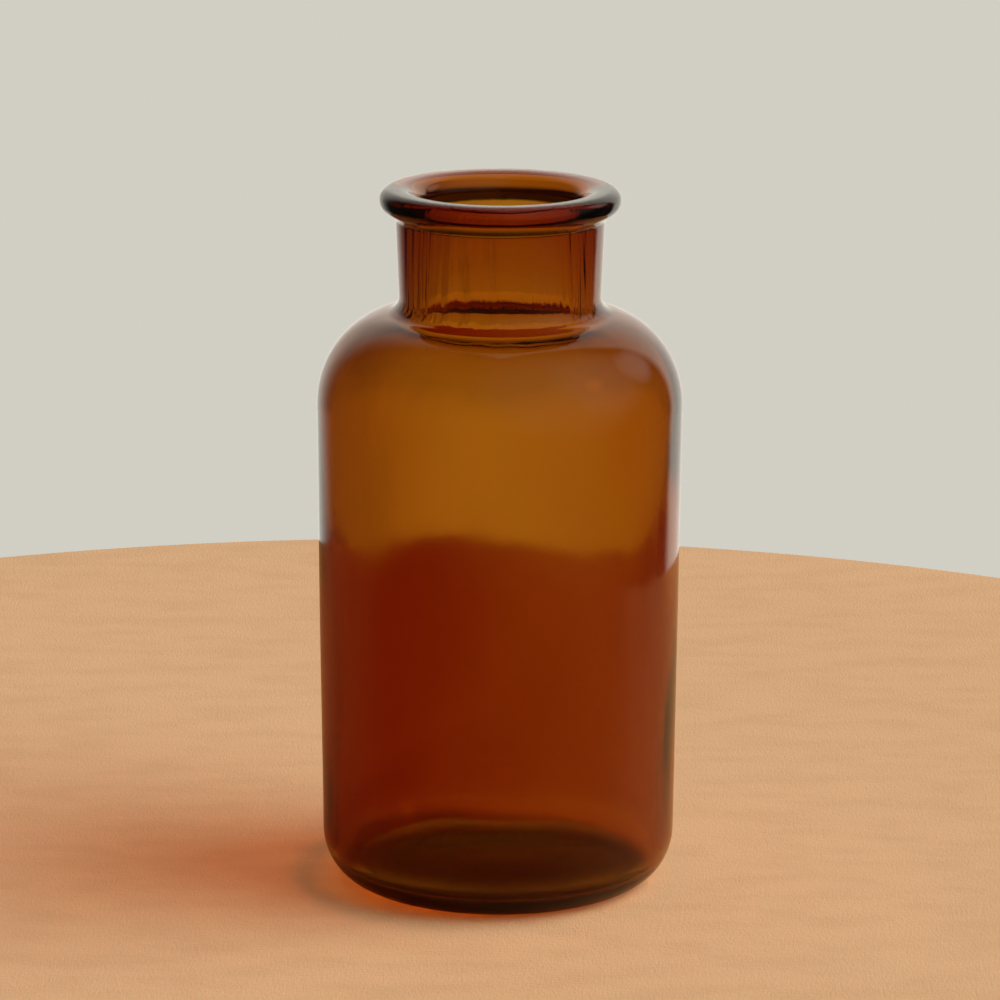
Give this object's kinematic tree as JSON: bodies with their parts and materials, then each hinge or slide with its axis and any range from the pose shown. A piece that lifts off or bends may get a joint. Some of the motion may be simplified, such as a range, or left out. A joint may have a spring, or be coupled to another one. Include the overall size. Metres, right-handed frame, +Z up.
{
  "type": "apothecary jar",
  "caption": "Wide-mouth amber glass jar with a rolled lip, short neck, round shoulder and rounded heel, open at the top, to hold dry goods, liquids or stems.",
  "frame": {"origin": "middle of the foot, on the surface that the jar stands on", "axes": "+Z up along the jar's axis, out of the mouth; the jar is round, so X and Y are alike"},
  "size_m": [0.1, 0.1, 0.194],
  "materials": {
    "amber_glass": "gloss"
  },
  "bodies": {
    "root": {"glass_jar": "amber_glass"}
  },
  "joints": []
}
